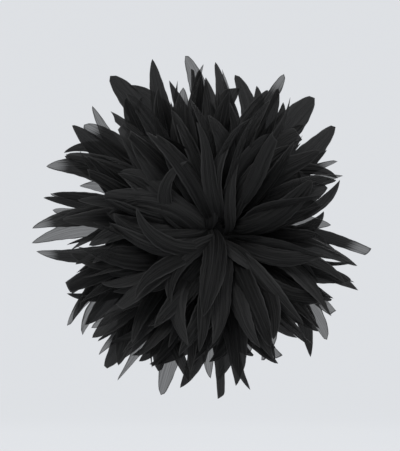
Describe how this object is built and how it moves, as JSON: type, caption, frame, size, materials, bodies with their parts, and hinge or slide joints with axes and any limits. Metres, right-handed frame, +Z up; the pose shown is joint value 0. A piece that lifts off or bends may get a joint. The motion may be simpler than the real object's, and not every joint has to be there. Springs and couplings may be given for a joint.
{
  "type": "petal corsage brooch",
  "caption": "Round domed corsage brooch: rows of narrow pointed petals in sheer black fabric fan out from a padded dome on a felt-backed disc, with a hinged, locking bar pin behind.",
  "frame": {"origin": "centre of the felt backing's rear face, where the brooch lies against the garment", "axes": "-Y out of the front of the flower, +Y into the garment, +Z up as worn, +X to the right of someone facing the flower"},
  "size_m": [0.2022, 0.0812, 0.1968],
  "materials": {
    "petal_cloth": "sheer woven organza, matte with a faint silky sheen, cut edges",
    "felt": "dense matted felt",
    "buckram": "stiffened open weave",
    "wadding": "covered wadding",
    "steel": "nickel-plated, satin",
    "thread": "twisted sewing thread"
  },
  "bodies": {
    "flower": {"backing_felt": "felt", "buckram_disc": "buckram", "core_dome": "wadding", "petal_spray_1_1": "petal_cloth", "petal_spray_1_2": "petal_cloth", "petal_spray_1_3": "petal_cloth", "petal_spray_1_4": "petal_cloth", "petal_spray_1_5": "petal_cloth", "petal_spray_1_6": "petal_cloth", "petal_spray_1_7": "petal_cloth", "petal_spray_1_8": "petal_cloth", "petal_spray_1_9": "petal_cloth", "petal_spray_2_1": "petal_cloth", "petal_spray_2_2": "petal_cloth", "petal_spray_2_3": "petal_cloth", "petal_spray_2_4": "petal_cloth", "petal_spray_2_5": "petal_cloth", "petal_spray_2_6": "petal_cloth", "petal_spray_2_7": "petal_cloth", "petal_spray_2_8": "petal_cloth", "petal_spray_2_9": "petal_cloth", "petal_spray_3_1": "petal_cloth", "petal_spray_3_2": "petal_cloth", "petal_spray_3_3": "petal_cloth", "petal_spray_3_4": "petal_cloth", "petal_spray_3_5": "petal_cloth", "petal_spray_3_6": "petal_cloth", "petal_spray_3_7": "petal_cloth", "petal_spray_3_8": "petal_cloth", "petal_spray_4_1": "petal_cloth", "petal_spray_4_2": "petal_cloth", "petal_spray_4_3": "petal_cloth", "petal_spray_4_4": "petal_cloth", "petal_spray_4_5": "petal_cloth", "petal_spray_4_6": "petal_cloth", "petal_spray_4_7": "petal_cloth", "petal_spray_5_1": "petal_cloth", "petal_spray_5_2": "petal_cloth", "petal_spray_5_3": "petal_cloth", "petal_spray_5_4": "petal_cloth", "petal_spray_5_5": "petal_cloth", "petal_spray_5_6": "petal_cloth", "petal_spray_6_1": "petal_cloth", "petal_spray_6_2": "petal_cloth", "petal_spray_6_3": "petal_cloth", "petal_spray_6_4": "petal_cloth", "petal_spray_7_1": "petal_cloth", "petal_spray_7_2": "petal_cloth", "petal_spray_7_3": "petal_cloth", "crown_tuft": "petal_cloth", "pin_bar": "steel", "hinge_rivet": "steel", "catch_body": "steel", "bar_stitch_1": "thread", "bar_stitch_2": "thread", "bar_stitch_3": "thread", "bar_stitch_4": "thread"},
    "pin_stem": {"pin_stem": "steel"},
    "lock_roller": {"lock_roller": "steel"}
  },
  "joints": [
    {"name": "stem_hinge", "type": "hinge", "parent": "flower", "child": "pin_stem", "pos_m": [-0.0205, 0.0066, 0.012], "axis": [0, 0, 1], "range_deg": [0, 70]},
    {"name": "lock_turn", "type": "hinge", "parent": "flower", "child": "lock_roller", "pos_m": [0.0193, 0.0066, 0.012], "axis": [-1, 0, 0], "range_deg": [0, 90]}
  ]
}
